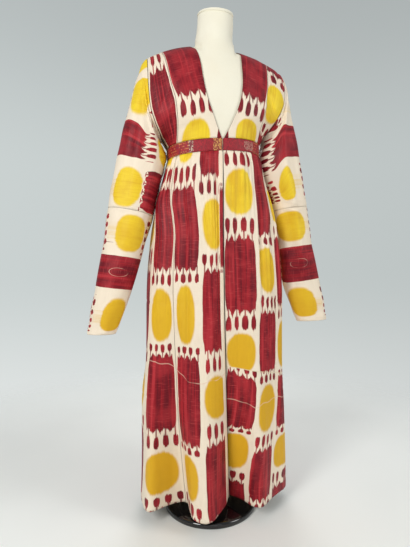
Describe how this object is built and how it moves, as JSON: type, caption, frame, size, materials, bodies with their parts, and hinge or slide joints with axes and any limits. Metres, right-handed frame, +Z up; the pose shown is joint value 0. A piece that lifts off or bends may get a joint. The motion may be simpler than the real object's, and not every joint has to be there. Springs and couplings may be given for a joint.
{
  "type": "ikat robe on a dress form",
  "caption": "Long open-front ikat robe with a gathered skirt, braid waistband and straight sleeves, worn by a limbless dress form on a round base.",
  "frame": {"origin": "centre of the round base's flat underside, on the floor", "axes": "+Z up the pole, -Y towards the robe's open front, +X towards the wearer's left"},
  "size_m": [0.7485, 0.3482, 1.5037],
  "materials": {
    "crimson_ikat": "soft sheen, ribbed warp-faced weave in crimson, cream and yellow ikat",
    "yellow_ikat": "soft sheen, the same ikat run round the arm",
    "cream_ikat": "soft sheen, the same ikat with cream selvedges",
    "woven_band": "matt hand-stitched braid",
    "form_cloth": "smooth matt cream jersey over a hard form",
    "black_gloss": "glossy black enamel"
  },
  "bodies": {
    "root": {"skirt_front_left": "crimson_ikat", "skirt_side_left": "crimson_ikat", "skirt_back": "crimson_ikat", "skirt_side_right": "crimson_ikat", "skirt_front_right": "crimson_ikat", "waistband_left": "woven_band", "waistband_right": "woven_band", "body_panel_right": "crimson_ikat", "side_panel_right": "cream_ikat", "body_panel_left": "crimson_ikat", "side_panel_left": "cream_ikat", "sleeve_upper_right": "yellow_ikat", "sleeve_lower_right": "yellow_ikat", "sleeve_upper_left": "yellow_ikat", "sleeve_lower_left": "yellow_ikat", "form_torso": "form_cloth", "form_pole": "black_gloss", "form_base": "black_gloss"}
  },
  "joints": []
}
